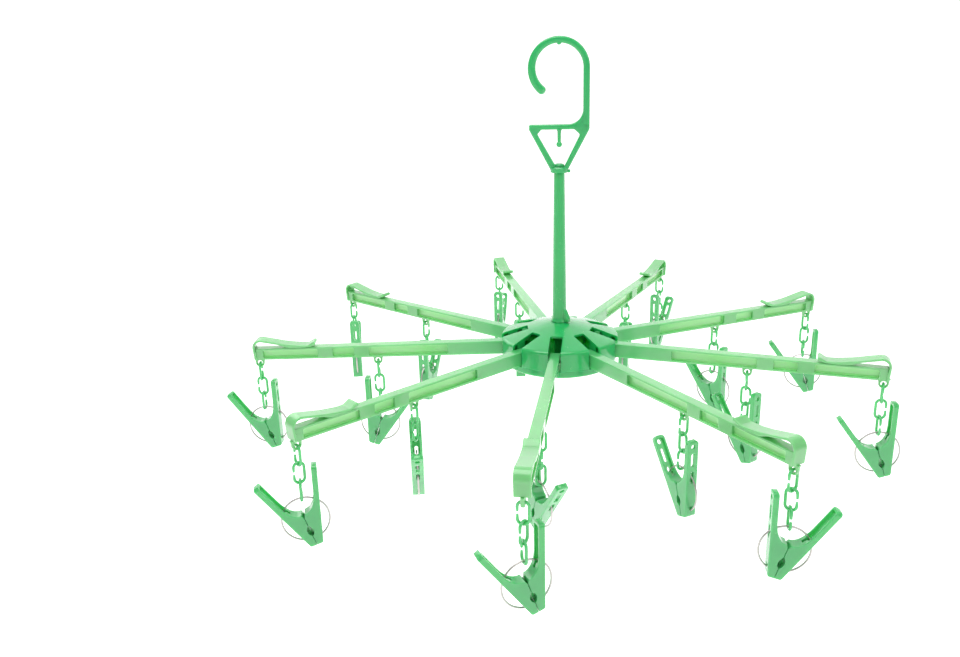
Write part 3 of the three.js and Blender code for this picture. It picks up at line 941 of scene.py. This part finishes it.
def cover_solid(sizes):
    """Lower shell: floor with shallow rings, a lip inside the hub, and a recess for the screw."""
    wall, inset, slot, lug = sizes_of(sizes, "wall cover_inset slot lug")
    edge = HUB_RADIUS - inset
    floor = COVER_FLOOR - PIN_PLANE
    rim = HUB_LOW.z - PIN_PLANE - RUNNING_GAP
    lip = HUB_RADIUS - wall - RUNNING_GAP
    lip_top, flange = rim + 2.6, edge + 1.1
    groove_half, groove_floor = 1.2, 0.7
    grooves = []
    for middle in (20.0, 38.0, 54.0):
        grooves += [(middle - groove_half, floor), (middle - groove_floor, floor + 0.6),
                    (middle + groove_floor, floor + 0.6), (middle + groove_half, floor)]
    shell = turned([
        (0, floor),
        *grooves,
        *bend((edge - 2.6, floor), (edge - 1.0, floor),
              (edge, floor + 1.0), (edge, floor + 2.6), 6),
        (edge, rim - 1.4), (flange, rim - 1.1), (flange, rim),
        (lip, rim), (lip, lip_top - 0.4), (lip - 0.4, lip_top), (lip - wall, lip_top),
        (lip - wall, floor + wall), (0, floor + wall),
    ], 144)
    socket_foot = POLE_LOW.z - PIN_PLANE
    post_radius, post_top = 6, socket_foot - 3.3
    post = turned([
        (0, floor + 1), (post_radius, floor + 1), (post_radius, post_top), (0, post_top),
    ], 40)
    rest_half, tongue_half, ledge, tongue_top = 3, 2, -4.9, -2.9
    rest = plate([[
        (PIN_REACH - rest_half, floor + 1), (PIN_REACH + rest_half, floor + 1),
        (PIN_REACH + rest_half, ledge), (PIN_REACH + tongue_half, ledge),
        (PIN_REACH + tongue_half, tongue_top), (PIN_REACH - tongue_half, tongue_top),
        (PIN_REACH - tongue_half, ledge), (PIN_REACH - rest_half, ledge),
    ]], 2.6, 0.1)
    rests = sideways(rest, (slot + lug) / 2)
    way_floor, way_end = -8.1, HUB_RADIUS + 4
    way = plate([softened([
        (PIN_REACH, way_floor), (way_end, way_floor), (way_end, 1), (PIN_REACH, 1),
    ], 0.8)], slot, 0.05)
    head_room, head_seat, shaft_room = 4.9, floor + 4, 2.3
    recess = turned([
        (0, floor - 1), (head_room + 0.5, floor - 1), (head_room, floor + 0.5),
        (head_room, head_seat), (shaft_room, head_seat), (shaft_room, socket_foot),
        (0, socket_foot),
    ], 40)
    return carved(joined(shell, post, around(rests)), around(way), recess)


def screw_solid():
    """Pan-head screw with a cross recess and a cut thread."""
    low, high = low_high("cover_screw")
    head, root, crest, pitch = 4.5, 1.25, 1.7, 0.9
    head_top = low.z + 2.1
    profile = [(0, low.z), (2.6, low.z), (4.0, low.z + 0.5), (head, low.z + 1.3),
               (head, head_top), (1.6, head_top)]
    height = head_top + 1.0
    while height < high.z - 2.0:
        profile += [(root, height), (crest, height + pitch / 2), (root, height + pitch)]
        height += pitch
    profile += [(1.2, high.z - 1.2), (0, high.z)]
    cross_top, cross_floor = low.z - 1, low.z + 1.2
    bar = plate([softened([
        (-2.7, cross_top), (2.7, cross_top), (1.6, cross_floor), (-1.6, cross_floor),
    ], 0.3)], 1.0, 0.1)
    return carved(turned(profile, 28), bar, moved(bar, spin(math.pi / 2)))


# ---------------------------------------------------------------- arms


def half_height(x, sizes):
    """Half the beam's height at a distance from the hub's axis."""
    root, tip, reach = sizes_of(sizes, "root tip reach")
    share = max(0.0, (x - PIN_REACH) / (reach - PIN_REACH))
    return (root + (tip - root) * share) / 2


def finger_solid(sizes):
    """The springy strip that curls over the beam's end and runs back to a small knob."""
    reach, band, rise, width = sizes_of(sizes, "reach band finger_rise finger_width")
    end = half_height(reach, sizes)
    pad_end = reach - size_of(sizes, "finger")
    mouth_end = reach - size_of(sizes, "mouth")
    rest = half_height(pad_end, sizes) + 0.35
    bend_radius, bend_turn = 9.0, 96
    bend_x, bend_z = reach + band - bend_radius, end + rise - bend_radius
    knob_start = pad_end + 9
    outer = [(reach - 1, -end), (reach + band - 1.2, -end + 1.0),
             *arc(bend_x, bend_z, bend_radius, 0, bend_turn, 14)]
    crest = bend((mouth_end + 2, rest + 4.6), (mouth_end - 8, rest + 3.2),
                 (knob_start + 6, rest + 2.0), (knob_start, rest + 2.6), 10)
    knob = arc(pad_end + 2.6, rest + 4.2, 1.9, 60, 250, 10)
    under = bend((pad_end + 4.2, rest + 1.9), (knob_start - 2, rest),
                 (knob_start + 4, rest), (mouth_end - 6, rest), 8)
    mouth = bend((mouth_end - 4, rest), (mouth_end + 2, rest + 0.4),
                 (mouth_end + 4, rest + 2.6), (mouth_end + 10, rest + 4.1), 8)
    inner = arc(bend_x, bend_z, bend_radius - band + 0.3, bend_turn, 0, 12)
    foot = [(reach - 0.1, end - 3.2), (reach - 1, end - 4)]
    return plate([outer + crest + knob + under + mouth + inner + foot], width, 0.8)


def eye_solid(x, sizes):
    """A lug with a round hole under the beam."""
    hole, rim = sizes_of(sizes, "eye_hole eye_rim")
    drop, thick = 4.6, 3.4
    under = -half_height(x, sizes)
    middle = under - drop
    outer = hole + rim
    lug = [
        (x - outer - 1.6, under + 0.8), (x - outer - 0.5, under - 0.6),
        *arc(x, middle, outer, 175, 365, 18),
        (x + outer + 0.5, under - 0.6), (x + outer + 1.6, under + 0.8),
    ]
    return plate([lug, arc(x, middle, hole, 0, 345, 23)], thick, 0.8)


def hollow_solid(start, end, sizes):
    """A hollow on each side of the beam, with the web left between them."""
    flange, width, web = sizes_of(sizes, "flange width web")
    near, far = half_height(start, sizes) - flange, half_height(end, sizes) - flange
    rim = softened([(start, -near), (end, -far), (end, far), (start, near)], 1.6)
    aside = (width + web) / 2
    return gathered([plate([rim], width, 0.5, y=side * aside) for side in (-1, 1)])


def arm_solid(sizes):
    """I-section beam with round root, pins, eyes and finger."""
    reach, width, block = sizes_of(sizes, "reach width block")
    root_solid, near_hollow, middle_hollow, tip_solid = sizes_of(
        sizes, "root_solid near_hollow middle_hollow tip_solid")
    root, end = half_height(PIN_REACH, sizes), half_height(reach, sizes)
    start = PIN_REACH + 4
    sides = softened([(start, -root), (reach, -end), (reach, end), (start, root)], 0.6)
    beam = plate([arc(PIN_REACH, 0, root, 90, 270, 24) + sides[2:-2]], width, 0.7)
    near = PIN_REACH + root_solid
    middle = near + near_hollow + block
    last = middle + middle_hollow + block
    spans = ((near, middle - block), (middle, last - block), (last, reach - tip_solid))
    pin_half = 9.4
    pins = across_bar(size_of(sizes, "pin"), pin_half, PIN_REACH, 0)
    eyes = [eye_solid(math.hypot(*pivot(f"{place}_peg_1_swing").xy), sizes)
            for place in ("tip", "mid")]
    whole = joined(beam, finger_solid(sizes), *eyes, pins)
    return carved(whole, *[hollow_solid(near_end, far_end, sizes) for near_end, far_end in spans])


# ---------------------------------------------------------------- pegs


def spring_centre(sizes):
    """Middle of the ring spring above the jaw ends."""
    return size_of(sizes, "ring") + size_of(sizes, "ring_lift")


def ring_drop(sizes):
    """Middle of the ring spring below the eye."""
    link, link_wire, ring = sizes_of(sizes, "link link_wire ring")
    half_wire = 0.9             # of the frame's own ring, which hangs in the last link
    return sizes.links * link + link_wire / 2 + ring - half_wire


def peg_shift(peg, sizes):
    """How far a peg is set sideways so that it hangs straight."""
    eye, rock = pivot(f"{peg}_swing"), pivot(f"{peg}_squeeze")
    turn = lever_turn(peg)
    aside = (rock - eye).dot(Vector((math.cos(turn), math.sin(turn), 0)))
    return aside - (size_of(sizes, "fulcrum") - spring_centre(sizes)) * math.sin(sizes.half_angle)


def hung(sizes, shift):
    """Places an upright peg under its eye, first leg plumb."""
    return (Matrix.Translation((shift, 0, -ring_drop(sizes)))
            @ Matrix.Rotation(sizes.half_angle, 4, "Y")
            @ Matrix.Translation((0, 0, -spring_centre(sizes))))


def leg_solid(sizes, side):
    """One half of a peg: cheeks below, a hollow leg above, with holes through its face.

    side is -1 for the plumb leg and 1 for the lever.
    """
    long, wide, jaw, deep = sizes_of(sizes, "length width jaw leg")
    valley, fulcrum = sizes_of(sizes, "valley fulcrum")
    lean, rise = math.sin(sizes.half_angle), math.cos(sizes.half_angle)
    gap = PARTING_GAP

    def at(along, depth):
        """A point of the leg: how far up its outer face, and how deep under it."""
        return (jaw + along * lean - depth * rise, along * rise + depth * lean)

    bow_top, notch = valley + 17, 1.7
    bow = bend(at(bow_top, deep), at(valley + 4, deep + 0.2), (gap + 6.5, valley - 0.2),
               (notch, valley), 12)
    bow += [(gap, fulcrum - 0.2)]
    outside = softened([(gap, 0), (jaw - 0.6, 0), at(1.5, 0), at(long, 0), at(long, deep)], 1.9, 5)
    outside[0:5] = [(gap, 0.0)]                 # the corner at the parting plane stays sharp
    rim = outside + bow
    if side < 0:
        rim = mirrored(rim)
    body = plate([rim], wide, 0.75)
    on_face = (Matrix.Translation((side * jaw, 0, 0))
               @ Matrix.Rotation(side * sizes.half_angle, 4, "Y"))

    def face_plate(outline, thick, edge, inwards=0.0):
        """A plate that lies in the leg's outer face, or further in."""
        made = plate([outline], thick, edge)
        made.transform(on_face @ Matrix.Translation((-side * inwards, 0, 0)) @ FACE_ON)
        return made

    def through(height, end_height, radius):
        """A round-ended slot through the leg's face, between two distances along it."""
        ends = arc(height, 0, radius, 90, 270, 10) + arc(end_height, 0, radius, -90, 90, 10)
        return face_plate(ends, 3 * deep, 0.05)

    trough_floor, trough_half = 2.4, wide / 2 - 2
    trough_foot, trough_top = valley + 8, long - 3.2
    trough = face_plate(softened([
        (trough_foot, -trough_half), (trough_top, -trough_half),
        (trough_top, trough_half), (trough_foot, trough_half),
    ], 1.8), 2 * deep, 0.5, inwards=2 * deep - trough_floor)

    lens_start, lens_foot, lens_top, lens_bulge, lens_depth = gap + 0.3, 10.0, 21.0, 3.8, 1.2
    lens = [(-1.0, lens_top + 0.4), (lens_start, lens_top)] + bend(
        (lens_start, lens_top), (lens_bulge, lens_top - 3), (lens_bulge, lens_foot + 3),
        (lens_start, lens_foot), 10) + [(-1.0, lens_foot - 0.4)]
    if side < 0:
        lens = mirrored(lens)
    lenses = [plate([lens], wide, 0.05, y=face * (wide / 2 + lens_depth)) for face in (-1, 1)]

    blank_foot, blank_half, end_round = -12, wide / 2 + 0.1, wide * 0.46
    blank = face_plate(softened([
        (blank_foot, -blank_half, 0), (long, -blank_half),
        (long, blank_half), (blank_foot, blank_half, 0),
    ], end_round, 8), 90, 0.05)
    body = combined(body, [blank], "INTERSECT")

    dimple_height, dimple_radius = 9.0, 1.5
    dimple = turned([(0, -1), (dimple_radius, -1), (dimple_radius, 1), (0, 1)], 20)
    dimple.transform(on_face @ Matrix.Translation((0, 0, dimple_height))
                     @ Matrix.Rotation(math.radians(90), 4, "Y"))
    slots = [(long - 6.2, long - 6.0, 2.4), (long - 24.5, long - 14.5, 1.9), (35.5, 44.5, 1.7)]
    return carved(body, trough, *[through(*slot) for slot in slots], dimple, *lenses)


def chain_solid(peg, number, sizes):
    """Open links that turn step by step from the eye round to the peg's own plane."""
    inner, wire, wide = sizes_of(sizes, "link link_wire link_width")
    twist = math.remainder(lever_turn(peg) - arm_turn(number), math.pi)
    radius = (wide - wire) / 2
    half_opening, end_size = 1.5, 0.8
    links = []
    for index in range(sizes.links):
        top = -index * inner
        bottom = top - inner - wire
        middle = (top + bottom) / 2
        upper = arc(0, top - radius, radius, 0, 180, 14)
        lower = arc(0, bottom + radius, radius, 180, 360, 14)
        above, below = middle + half_opening, middle - half_opening
        if index % 2:
            path = [(radius, above), *upper, *lower, (radius, below)]
        else:
            path = [(-radius, below), *lower, *upper, (-radius, above)]
        swell = [(1.0, 1.0)] * len(path)
        swell[0] = swell[-1] = (end_size, end_size)
        link = swept(path, round_section(wire / 2, 12), swell=swell)
        yaw = math.pi / 2 * (1 - index % 2) + twist * index / max(1, sizes.links - 1)
        links.append(moved(link, spin(yaw)))
    return gathered(links)


def ring_solid(sizes, shift, turn, eye):
    """Ring spring: a C of round wire whose ends bite into the jaws."""
    radius, wire, jaw = sizes_of(sizes, "ring ring_wire jaw")
    centre, half_angle = spring_centre(sizes), sizes.half_angle
    to_face = jaw * math.cos(half_angle) + centre * math.sin(half_angle)
    # the ring's two ends stop 2 degrees short of where it crosses the jaws' faces
    reach = math.degrees(math.acos(to_face / radius) + half_angle) - 2
    curve = arc(0, centre, radius, -reach, 180 + reach, 72)
    (first_x, first_z), (last_x, last_z) = curve[0], curve[-1]
    bite, nip = (2.4, 0.9), (0.9, 0.15)         # how far the bent-in ends reach, across and up
    path = [(first_x - bite[0], first_z + bite[1]), (first_x - nip[0], first_z + nip[1]), *curve,
            (last_x + nip[0], last_z + nip[1]), (last_x + bite[0], last_z + bite[1])]
    ring = swept(path, round_section(wire / 2, 10))
    ring.transform(Matrix.Translation(eye) @ spin(turn) @ hung(sizes, shift))
    return ring


# ---------------------------------------------------------------- operators


class DRYER_OT_stage(bpy.types.Operator):
    """Sets the camera, the pale floor and the soft lights"""

    bl_idname = "dryer.stage"
    bl_label = "Stage"

    def execute(self, context):
        settings = context.scene.dryer_stage
        out = Vector((0, -math.cos(settings.rise), math.sin(settings.rise)))
        ahead, right = -out, Vector((1, 0, 0))
        up = right.cross(ahead)
        left = -settings.aside
        ahead, right = (ahead * math.cos(left) + right * math.sin(left),
                        right * math.cos(left) - ahead * math.sin(left))
        ahead, up = (ahead * math.cos(settings.lift) + up * math.sin(settings.lift),
                     up * math.cos(settings.lift) - ahead * math.sin(settings.lift))
        view = Matrix((right, up, -ahead)).transposed().to_4x4()
        view.translation = out * settings.distance + Vector((0, 0, PIN_PLANE * MM))
        camera = bpy.data.objects.new("camera", bpy.data.cameras.new("camera"))
        camera.data.lens = settings.lens
        camera.data.sensor_width = 36.0
        camera.data.clip_start = 0.01
        camera.matrix_world = view
        context.scene.collection.objects.link(camera)
        context.scene.camera = camera

        low = CAD_BOX[0][2] - 0.16
        near, far, sweep, high, half = -8.0, 2.0, 1.5, low + 7.0, 8.0
        profile = [(near, low), (far, low), *arc(far, low + sweep, sweep, -90, 0, 16),
                   (far + sweep, high)]
        corners = [(x, y, z) for y, z in profile for x in (-half, half)]
        faces = [(step, step + 1, step + 3, step + 2) for step in range(0, len(corners) - 2, 2)]
        backdrop_mesh = bpy.data.meshes.new("backdrop")
        backdrop_mesh.from_pydata(corners, [], faces)
        backdrop_mesh.shade_smooth()
        backdrop_mesh.materials.append(material("floor_paint"))
        backdrop = bpy.data.objects.new("backdrop", backdrop_mesh)
        context.scene.collection.objects.link(backdrop)

        world = bpy.data.worlds.new("studio")
        world.use_nodes = True
        sky = world.node_tree.nodes["Background"]
        sky.inputs["Color"].default_value = (1, 1, 1, 1)
        sky.inputs["Strength"].default_value = settings.sky
        context.scene.world = world
        lamps = (
            ("key", (-0.3, -0.5, 1.6), 1.6, settings.key),
            ("fill", (1.5, -0.9, 0.9), 1.2, settings.fill),
            ("rim", (-1.2, 1.2, 0.9), 1.2, settings.fill),
        )
        for name, place, size, power in lamps:
            light = bpy.data.lights.new(name, "AREA")
            light.size = size
            light.energy = power
            lamp = bpy.data.objects.new(name, light)
            lamp.location = place
            aim = Vector((0, 0, PIN_PLANE * MM)) - Vector(place)
            lamp.rotation_euler = aim.to_track_quat("-Z", "Y").to_euler()
            context.scene.collection.objects.link(lamp)
        context.scene.view_settings.view_transform = "Standard"
        return {"FINISHED"}


class DRYER_OT_hook(bpy.types.Operator):
    """Builds the hook with its stirrup, and the swivel cap"""

    bl_idname = "dryer.hook"
    bl_label = "Hook"

    def execute(self, context):
        scene = context.scene
        placed("hook", hook_solid(scene.dryer_hook), "hook", material("hook_plastic"),
               stands_for=["hook_frame"])
        placed("spindle_cap", cap_solid(scene.dryer_hub), "rotor", material("body_plastic"),
               stands_for=["swivel_cap"])
        return {"FINISHED"}


class DRYER_OT_pole(bpy.types.Operator):
    """Builds the tapered pole"""

    bl_idname = "dryer.pole"
    bl_label = "Pole"

    def execute(self, context):
        placed("tapered_pole", pole_solid(context.scene.dryer_hub), "rotor",
               material("body_plastic"), stands_for=["pole"])
        return {"FINISHED"}


class DRYER_OT_hub(bpy.types.Operator):
    """Builds the hub's dome, its cover and the cover screw"""

    bl_idname = "dryer.hub"
    bl_label = "Hub"

    def execute(self, context):
        sizes = context.scene.dryer_hub
        level = Matrix.Translation((0, 0, PIN_PLANE))
        plastic = material("body_plastic")
        placed("hub_dome", hub_solid(sizes), "rotor", plastic, level, ["hub_body"])
        placed("hub_lower_cover", cover_solid(sizes), "rotor", plastic, level,
               ["hub_cover"])
        placed("cover_fixing_screw", screw_solid(), "rotor", material("screw_steel"),
               stands_for=["cover_screw"])
        return {"FINISHED"}


class DRYER_OT_arms(bpy.types.Operator):
    """Builds the folding arms with their springy fingers"""

    bl_idname = "dryer.arms"
    bl_label = "Arms"

    def execute(self, context):
        mesh = made_ready(arm_solid(context.scene.dryer_arm))
        for number in ARM_NUMBERS:
            spot = Matrix.Translation((0, 0, PIN_PLANE)) @ spin(arm_turn(number))
            placed(f"folding_arm_{number}", mesh, f"arm_{number}", material("arm_plastic"),
                   spot, [f"arm_{number}"], ready=True)
        return {"FINISHED"}


class DRYER_OT_pegs(bpy.types.Operator):
    """Builds both halves of every peg"""

    bl_idname = "dryer.pegs"
    bl_label = "Pegs"

    def execute(self, context):
        sizes = context.scene.dryer_peg
        plastic = material("peg_plastic")
        plumb = made_ready(leg_solid(sizes, -1))
        lever = made_ready(leg_solid(sizes, 1))
        for peg in PEG_NAMES:
            spot = (Matrix.Translation(pivot(f"{peg}_swing")) @ spin(lever_turn(peg))
                    @ hung(sizes, peg_shift(peg, sizes)))
            placed(f"{peg}_plumb_leg", plumb, peg, plastic, spot, [peg], ready=True)
            placed(f"{peg}_squeeze_leg", lever, f"{peg}_lever", plastic, spot,
                   [f"{peg}_lever"], ready=True)
        return {"FINISHED"}


class DRYER_OT_chains(bpy.types.Operator):
    """Builds the short chain of every peg"""

    bl_idname = "dryer.chains"
    bl_label = "Chains"

    def execute(self, context):
        sizes = context.scene.dryer_peg
        for peg in PEG_NAMES:
            number = int(peg.rsplit("_", 1)[1])
            spot = Matrix.Translation(pivot(f"{peg}_swing")) @ spin(arm_turn(number))
            placed(f"{peg}_chain", chain_solid(peg, number, sizes), peg, material("chain_plastic"),
                   spot)
        return {"FINISHED"}


class DRYER_OT_springs(bpy.types.Operator):
    """Builds the steel ring spring of every peg"""

    bl_idname = "dryer.springs"
    bl_label = "Ring springs"

    def execute(self, context):
        sizes = context.scene.dryer_peg
        spread = 0.8                            # share of the ring's radius that gives way
        half = size_of(sizes, "ring") * spread * MM
        for peg in PEG_NAMES:
            eye, turn = pivot(f"{peg}_swing"), lever_turn(peg)
            shift = peg_shift(peg, sizes)
            mesh = made_ready(ring_solid(sizes, shift, turn, eye))
            mesh.materials.append(material("ring_steel"))
            piece = bpy.data.objects.new(f"{peg}_ring_spring", mesh)
            context.scene.collection.objects.link(piece)
            towards = Vector((math.cos(turn), math.sin(turn), 0))
            middle = (eye + towards * shift - Vector((0, 0, ring_drop(sizes)))) * MM
            middle - towards * half
            middle + towards * half
            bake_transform(piece)
        return {"FINISHED"}


STEPS = (DRYER_OT_stage, DRYER_OT_hook, DRYER_OT_pole, DRYER_OT_hub, DRYER_OT_arms, DRYER_OT_pegs,
         DRYER_OT_chains, DRYER_OT_springs)
GROUPS = {
    "dryer_hook": HookSizes,
    "dryer_hub": HubSizes,
    "dryer_arm": ArmSizes,
    "dryer_peg": PegSizes,
    "dryer_colours": FinishColours,
    "dryer_stage": StageSettings,
}


class DRYER_PT_sidebar(bpy.types.Panel):
    """Lists the pieces and their sizes"""

    bl_idname = "DRYER_PT_sidebar"
    bl_label = "Rotary Clothesline"
    bl_space_type = "VIEW_3D"
    bl_region_type = "UI"
    bl_category = "Clothesline"

    def draw(self, context):
        for step in STEPS:
            self.layout.operator(step.bl_idname)
        for group in GROUPS:
            box = self.layout.box()
            settings = getattr(context.scene, group)
            for name in settings.__annotations__:
                box.prop(settings, name)


def register():
    """Adds the settings, the operators and the sidebar."""
    for group in GROUPS.values():
        bpy.utils.register_class(group)
    for name, group in GROUPS.items():
        setattr(bpy.types.Scene, name, PointerProperty(type=group))
    for step in (*STEPS, DRYER_PT_sidebar):
        bpy.utils.register_class(step)


def unregister():
    """Takes away what register added."""
    for step in reversed((*STEPS, DRYER_PT_sidebar)):
        bpy.utils.unregister_class(step)
    for name in GROUPS:
        delattr(bpy.types.Scene, name)
    for group in reversed(GROUPS.values()):
        bpy.utils.unregister_class(group)


def main():
    """Builds the dryer and its stage."""
    register()
    for step in STEPS:
        family, name = step.bl_idname.split(".")
        getattr(getattr(bpy.ops, family), name)()


if __name__ == "__main__":
    main()
